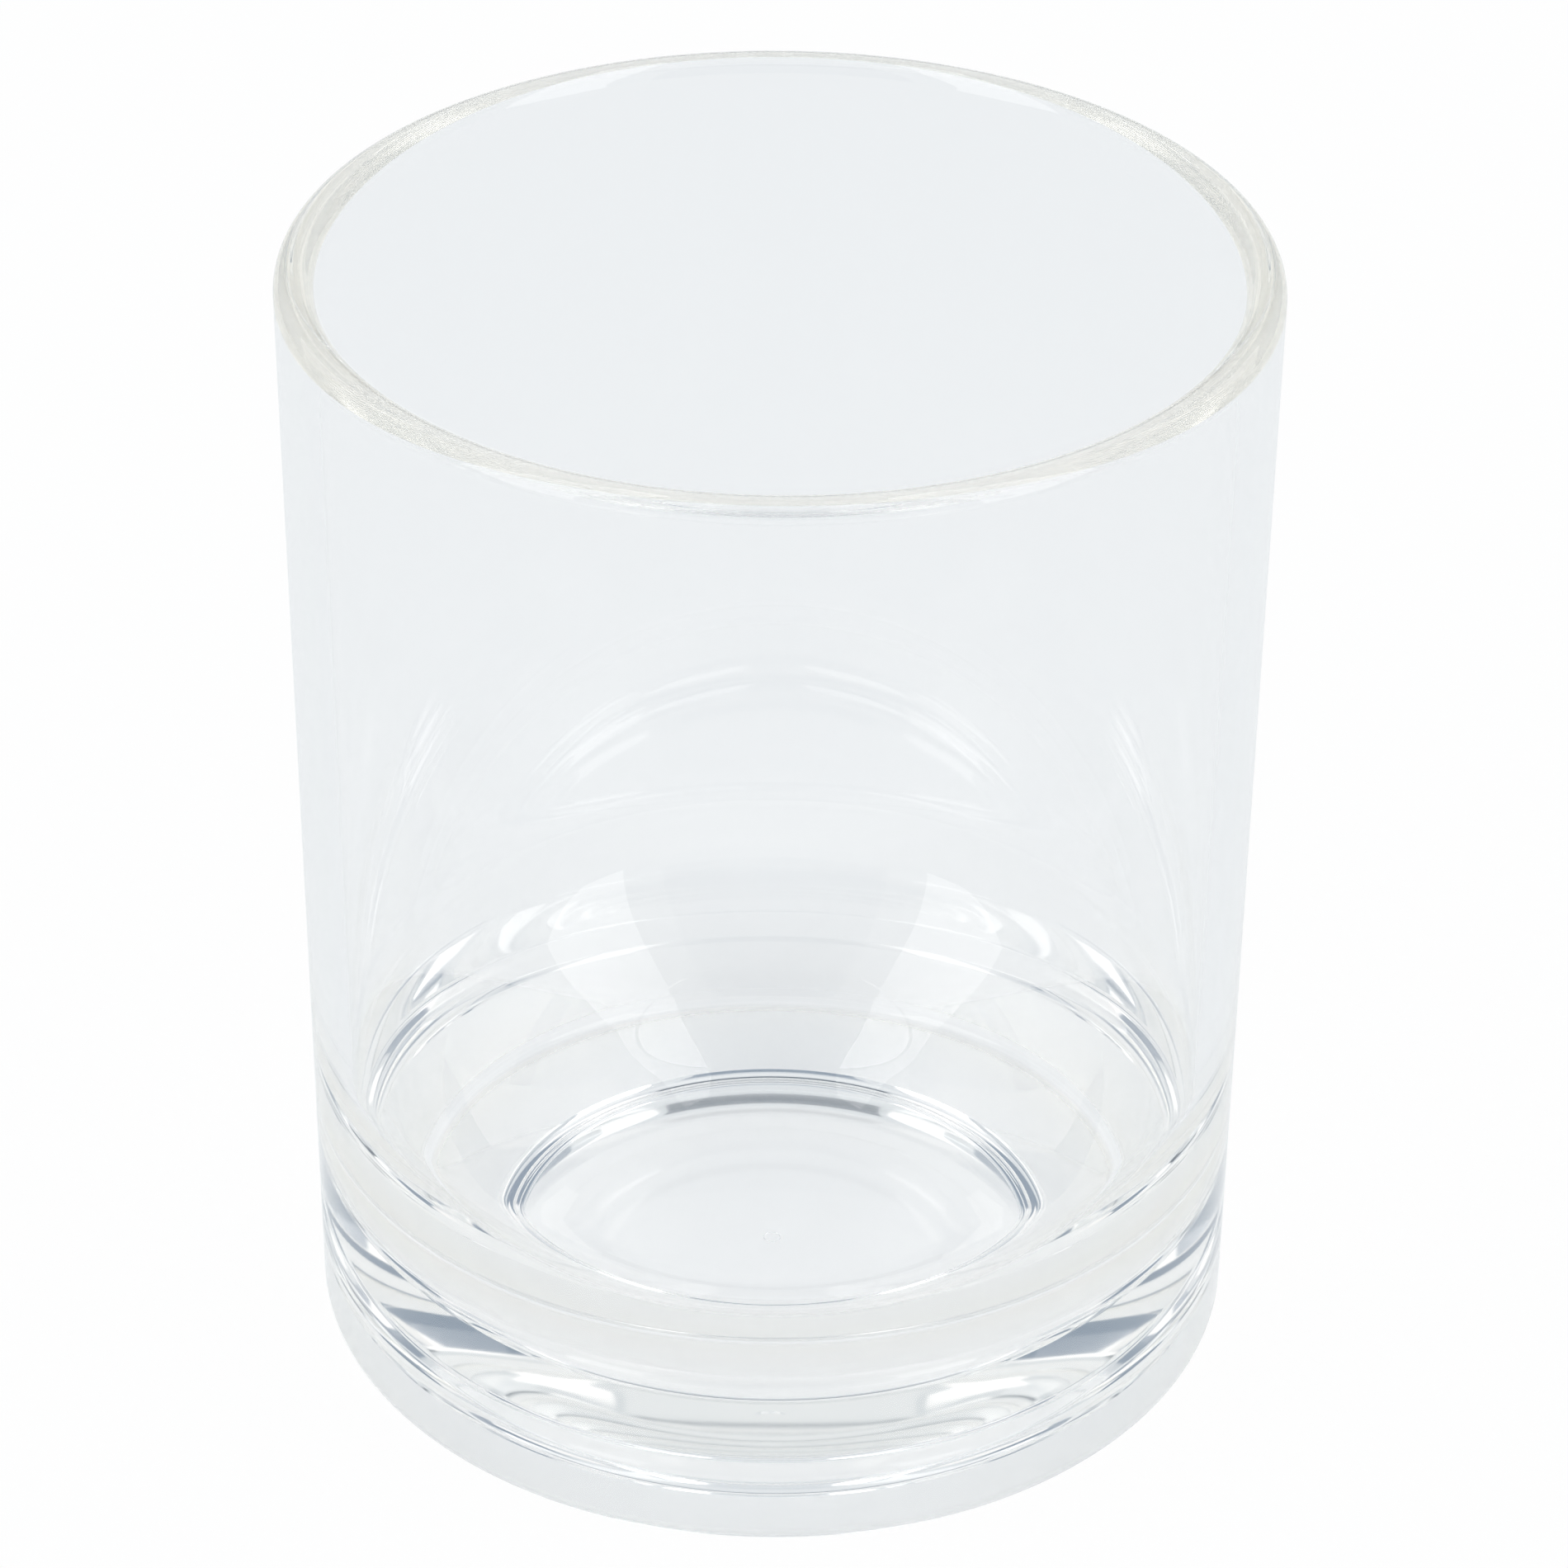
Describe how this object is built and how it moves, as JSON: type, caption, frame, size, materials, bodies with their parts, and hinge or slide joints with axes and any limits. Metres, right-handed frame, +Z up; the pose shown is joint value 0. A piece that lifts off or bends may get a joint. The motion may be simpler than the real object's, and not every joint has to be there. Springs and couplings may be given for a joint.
{
  "type": "rocks glass",
  "caption": "Clear moulded tumbler with a slightly flared wall, full-round rim, bowl-shaped inside bottom and a recessed underside with a flat foot ring.",
  "frame": {"origin": "centre of the foot ring, on the surface that the glass stands on", "axes": "+Z up along the axis of revolution, from foot to rim; X and Y are equivalent"},
  "size_m": [0.0772, 0.0772, 0.095],
  "materials": {
    "clear_body": "clear, glossy, moulded in one shot, faintly warm where light travels along the wall"
  },
  "bodies": {
    "root": {"tumbler_body": "clear_body"}
  },
  "joints": []
}
